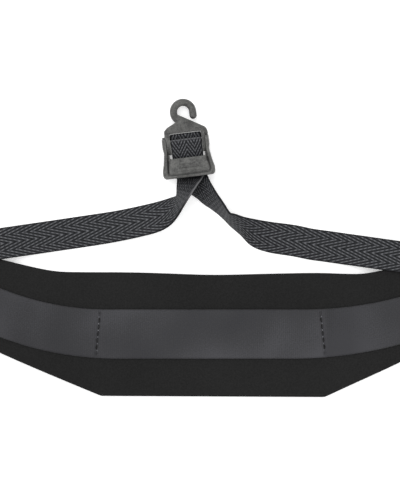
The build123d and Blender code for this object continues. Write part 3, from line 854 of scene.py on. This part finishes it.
joinV = strand["join"]
joinW = mouthLeft + (frontLeft[1] - mouthLeft) * joinV / frontLeft[0]
halfwayW = (mouthLeft + joinW) / 2


# rows from the buckle's mouth up to where the inner path takes over
def mouthRows(leftHeights, rightHeights):
    rows = []
    for share, low, high in zip((0, 0.5, 1), leftHeights, rightHeights):
        rows.append([*bucklePoint(strand["webbingU"] - halfWidth, joinV * share, low),
                     *bucklePoint(strand["webbingU"] + halfWidth, joinV * share, high)])
    return rows


# the left strand turns up with its outer edge standing, the right one with its inner edge standing
leftTurn = [
    (-53.1, 75.3, 0.8, -50.0, 56.9, 3.6), (-39.6, 78.1, 0.8, -36.0, 60.0, 5.0),
    (-29.9, 80.4, 0.8, -26.8, 62.8, 7.2), (-23.8, 82.1, 0.8, -21.0, 66.4, 10.8),
    (-19.5, 83.3, 0.8, -16.2, 72.3, 15.2), (-17.5, 84.1, 0.8, -12.8, 78.1, 16.6),
    (-17.1, 85.7, 0.9, -10.4, 82.0, 16.3), (-17.1, 88.1, 1.1, -8.2, 85.4, 15.2),
    (-17.1, 90.6, 1.6, -5.8, 89.1, 12.6), (-17.1, 93.0, 2.1, -3.3, 92.6, 9.2),
    (-17.3, 95.2, 2.5, -0.9, 96.1, 5.2),
]
rightTurn = [
    (55.3, 47.0, 0.8, 57.9, 65.9, 0.9), (40.3, 49.4, 0.8, 42.7, 68.0, 3.2),
    (31.4, 52.1, 0.8, 33.5, 69.4, 7.6), (26.7, 55.1, 0.8, 27.4, 70.5, 11.4),
    (22.9, 59.4, 0.8, 22.0, 71.7, 14.8), (19.2, 62.8, 0.8, 17.7, 73.0, 16.2),
    (15.2, 66.4, 0.8, 15.2, 73.6, 16.6), (11.3, 70.4, 0.8, 13.7, 75.4, 16.7),
    (7.6, 73.6, 0.8, 11.9, 78.4, 16.6), (3.4, 76.7, 0.8, 9.8, 81.7, 16.2),
    (-0.6, 79.3, 0.8, 7.6, 85.0, 14.8), (-4.1, 82.2, 0.8, 5.2, 89.1, 12.6),
    (-7.9, 84.8, 0.8, 3.4, 92.5, 9.6), (-12.5, 88.1, 0.8, 2.2, 95.3, 6.2),
    (-16.2, 92.8, 0.8, 1.1, 97.8, 3.0),
]

leftFoldRows, foldMid = foldedRows(leftEnd["leg"], leftEnd["fold"], leftEnd["heading"], acrossPlaces)
leftEdges = levelRows(leftEnd, foldMid, [
    (-147, 7.9), (-138, 6.9), (-129, 6.3), (-120, 6.0), (-111, 4.0), (-100, 1.6), (-88, 0.95), (-70, 0.95),
]) + leftTurn + mouthRows((mouthLeft, halfwayW, joinW), (3.4, halfwayW + 0.2, joinW))
leftInside = [(joinV + 0.2, joinW), frontLeft] + wrapArc(
    pinCentre, frontLeft, backLeft, -1) + [backLeft, strand["leftTail"]]
leftStrand, leftInner = strandRows(leftEdges, acrossPlaces)[:-1], buckleRows(leftInside, acrossPlaces)
webbingLeft = buildStrap("running_webbing", [leftFoldRows, leftStrand, leftInner], acrossPlaces,
                         mouthShadeDepth=0.8, raisedEdge=halfWidth)
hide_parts("webbing_left")

rightFoldRows, foldMid = foldedRows(rightEnd["leg"], rightEnd["fold"], rightEnd["heading"], acrossPlaces)
rightEdges = levelRows(rightEnd, foldMid, [
    (144, 7.9), (130, 6.6), (116, 6.1), (104, 5.9), (94, 3.4), (82, 1.3), (72, 0.95), (64, 0.95),
]) + rightTurn + mouthRows((mouthRight, mouthRight, mouthRight), (1.8, 1.1, mouthRight))
rightInside = [(joinV + 0.2, mouthRight), (buckle["barV"], mouthRight)] + wrapArc(
    barCentre, (buckle["barV"], mouthRight), frontRight, 1) + [frontRight, *strand["rightTail"]]
rightStrand, rightInner = strandRows(rightEdges, acrossPlaces)[:-1], buckleRows(rightInside, acrossPlaces)
webbingRight = buildStrap("fixed_webbing", [rightFoldRows, rightStrand, rightInner], acrossPlaces,
                          mouthShadeDepth=0.6, raisedEdge=4 * halfWidth)  # this far out, no edge gets the painted highlight
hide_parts("webbing_right")

print("stitching")

sewing = {
    "pitch": 3.1, "length": 2.3, "thread": 0.24, "boxHalf": 5.5, "boxBack": 32.0,
    "tackRows": (12.4, 13.6), "tackHeight": 2.85,
}


def stitchRow(count, middle, way, level):
    runs = []
    for number in range(count):
        centre = np.asarray(middle) + way * ((number - (count - 1) / 2) * sewing["pitch"])
        start, finish = centre - way * sewing["length"] / 2, centre + way * sewing["length"] / 2
        runs.append(((start[0], start[1], level), (finish[0], finish[1], level), sewing["thread"], 0.1, 0))
    return runs


for label, end in (("left", leftEnd), ("right", rightEnd)):
    heading = end["leg"]
    middle = np.array([*end["fold"], 0]) - unit(heading) * sewing["boxBack"]
    runs = []
    for turn in (0, 90):
        shift = unit(heading + turn + 90) * sewing["boxHalf"]
        for way in (-1, 1):
            runs += stitchRow(4, middle + shift * way, unit(heading + turn),
                              strand["legLow"] + weave["thickness"])
    boxThread = buildStitches(f"box_thread_{label}", runs, [darkThread])
    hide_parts(f"tip_stitches_{label}")

tackRuns = []
for rowV in sewing["tackRows"]:
    tackRuns += stitchRow(5, bucklePoint(strand["webbingU"], rowV), buckleX, sewing["tackHeight"])
tack = buildStitches("bar_tack", tackRuns, [darkThread])
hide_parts("bartack")

print("hook")

mould = {
    "voxel": 0.26, "rounding": 3, "swell": 0.08,
    # the groove between the lever's plate and its rim, in the buckle's own axes
    "groove": [(-10.9, 14.0), (-12.0, 9.0), (-12.3, 5.0), (-12.6, 1.0), (-12.2, -0.2), (-11.2, -0.8),
               (11.4, -0.8), (12.7, -0.2), (13.2, 1.0), (12.6, 5.0), (11.8, 9.0), (11.4, 12.0)],
    "grooveDepth": 0.7, "grooveWidth": 0.5, "grooveFloor": 7.6, "rimRise": 0.35,
    "plateHalf": 11, "plateTop": 9.5,
    # painted shade on steep sides, then where the paler edges begin, grow and stop: partly rubbed, partly
    # painted highlight
    "sideShade": 0.9, "highlightStart": 0.01, "highlightSpan": 0.05, "highlightMost": 0.45,
}


# how far each point lies from a line of places in the buckle's axes
def lineDistance(places, line):
    best = np.full(len(places), 1e9)
    for start, finish in zip(np.array(line[:-1]), np.array(line[1:])):
        way = finish - start
        share = np.clip((places - start) @ way / (way @ way), 0, 1)
        best = np.minimum(best, np.linalg.norm(places - start - share[:, None] * way, axis=1))
    return best


# how far each vertex stands out from its neighbours; mouldedCopy makes the standing edges paler, partly as
# rubbing and partly as painted highlight
def edgeConvexity(mesh):
    count = len(mesh.vertices)
    points, normals = np.empty(count * 3), np.empty(count * 3)
    mesh.vertices.foreach_get("co", points)
    mesh.vertices.foreach_get("normal", normals)
    points, normals = points.reshape(-1, 3), normals.reshape(-1, 3)
    edges = np.empty(len(mesh.edges) * 2, np.int64)
    mesh.edges.foreach_get("vertices", edges)
    edges = edges.reshape(-1, 2)
    both = np.concatenate([edges, edges[:, ::-1]])
    degree = np.bincount(both[:, 0], minlength=count)

    def nearMean(values):
        return np.bincount(both[:, 0], weights=values[both[:, 1]], minlength=count) / degree

    nearby = np.stack([nearMean(points[:, axis]) for axis in range(3)], 1)
    convexity = ((points - nearby) * normals).sum(1) / mm
    for _ in range(3):
        convexity = (convexity + nearMean(convexity)) / 2
    return points, normals, convexity


# a CAD part with the soft edges of a moulding: remeshed finely, then relaxed
def mouldedCopy(node, name, material, body):
    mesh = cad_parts[node].data.copy()
    mesh.name = name
    merged = bmesh.new()
    merged.from_mesh(mesh)
    bmesh.ops.remove_doubles(merged, verts=merged.verts, dist=0.01 * mm)
    merged.to_mesh(mesh)
    merged.free()
    piece = newObject(name, mesh)
    remesh = piece.modifiers.new("grain", "REMESH")
    remesh.mode = "VOXEL"
    remesh.voxel_size = mould["voxel"] * mm
    relax = piece.modifiers.new("rounding", "SMOOTH")
    relax.factor = 0.5
    relax.iterations = mould["rounding"]
    made = bpy.data.meshes.new_from_object(piece.evaluated_get(bpy.context.evaluated_depsgraph_get()))
    piece.modifiers.clear()
    piece.data = made
    made.materials.clear()
    made.materials.append(material)
    made.shade_smooth()
    points, normals, convexity = edgeConvexity(made)
    points += normals * mould["swell"] * mm  # what the smoothing took away
    fromBuckle = points / mm - bucklePoint(0, 0)
    places = np.stack([fromBuckle @ buckleX, fromBuckle @ buckleY], 1)
    grooveAndShade = np.zeros(len(points))
    if node == "lever":
        upper = np.clip((fromBuckle[:, 2] - mould["grooveFloor"]) / 0.6, 0, 1)
        upper = upper * np.clip(normals[:, 2] * 3, 0, 1)
        away = lineDistance(places, mould["groove"])
        outside = np.abs(places[:, 0]) > np.interp(places[:, 1], [1, 9], [12.9, 12.2])
        outside = outside | (places[:, 1] < mould["groove"][5][1])
        # the groove is a real dent and also carries painted shade
        grooveAndShade = np.exp(-(away / mould["grooveWidth"]) ** 2) * upper
        grooveAndShade = grooveAndShade * np.interp(places[:, 1], [-0.4, 1], [0.45, 1])
        onPlate = (np.abs(places[:, 0]) < mould["plateHalf"]) & (places[:, 1] < mould["plateTop"])
        convexity[onPlate] = 0
        rise = np.where(outside, np.clip(away / 0.9, 0, 1), 0) * upper * mould["rimRise"]
        points[:, 2] += (rise - grooveAndShade * mould["grooveDepth"]) * mm
    made.vertices.foreach_set("co", points.ravel())
    made.update()
    # painted shade on steep sides, which face away from the light, and in the groove
    steep = np.clip(1 - normals[:, 2] * 1.5, 0, 1)
    paint(piece, "grooveAndShade", np.maximum(grooveAndShade, steep * mould["sideShade"]))
    # paler edges, partly rubbed and partly painted highlight, kept off the plate, the groove and steep sides
    highlightAndWear = np.clip((convexity - mould["highlightStart"]) / mould["highlightSpan"], 0, mould["highlightMost"])
    paint(piece, "highlightAndWear", highlightAndWear * (1 - grooveAndShade) * (1 - steep))
    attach(piece, body)
    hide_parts(node)


mouldedCopy("hook_frame", "moulded_hook_frame", frameNylon, "strap")
mouldedCopy("lever", "moulded_lever", leverNylon, "lever")
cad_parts["hinge_pin"].data.materials.clear()
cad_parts["hinge_pin"].data.materials.append(pinSteel)

print("studio")

studio = {
    "table": ("f3f3f3", "f6f6f6"), "tableSize": 4000.0, "tableGlow": 0.35,
    # place, size and power of each lamp, in metres and watts
    "lamps": {"soft_box": ((-0.45, 0.75, 1.3), 0.9, 6.0), "fill": ((0.9, -0.6, 1.2), 1.2, 2.0)},
    "sky": 1.15,
    "viewHeight": 2500.0, "lens": 368.7, "aim": (-3.05, 51.2),
}


def tableMaterial():
    material, tree, surface, place = startMaterial(
        "table_light_box", Roughness=0.8, Specular_IOR_Level=0.2, Emission_Color=linear("ffffff"),
        Emission_Strength=studio["tableGlow"],
    )
    cloud = noise(tree, place, 6.0, 2.0)
    tone = colourRamp(tree, cloud, [(0.3, studio["table"][0]), (0.7, studio["table"][1])])
    setColour(tree, surface, tone)
    return material


reach = studio["tableSize"] / 2 * mm
tableMesh = bpy.data.meshes.new("table")
tableMesh.from_pydata([(-reach, -reach, 0), (reach, -reach, 0), (reach, reach, 0), (-reach, reach, 0)], [],
                      [(0, 1, 2, 3)])
tableMesh.materials.append(tableMaterial())
table = newObject("table", tableMesh)
table.location.z = -0.05 * mm


def areaLight(name, place, size, power):
    light = bpy.data.lights.new(name, "AREA")
    light.shape = "DISK"
    light.size = size
    light.energy = power
    lamp = newObject(name, light)
    lamp.location = place
    lamp.rotation_euler = (Vector((0, 0.05, 0)) - Vector(place)).to_track_quat("-Z", "Y").to_euler()


for lampName, lampValues in studio["lamps"].items():
    areaLight(lampName, *lampValues)

world = bpy.data.worlds.new("studio")
world.use_nodes = True
world.node_tree.nodes["Background"].inputs["Color"].default_value = (1, 1, 1, 1)
world.node_tree.nodes["Background"].inputs["Strength"].default_value = studio["sky"]
bpy.context.scene.world = world
bpy.context.scene.view_settings.view_transform = "Standard"

camera = newObject("camera", bpy.data.cameras.new("camera"))
camera.data.sensor_fit = "HORIZONTAL"
camera.data.sensor_width = 36
camera.data.lens = studio["lens"]
camera.data.clip_start = 0.01
camera.location = Vector((*studio["aim"], studio["viewHeight"])) * mm
bpy.context.scene.camera = camera

bpy.context.view_layer.update()
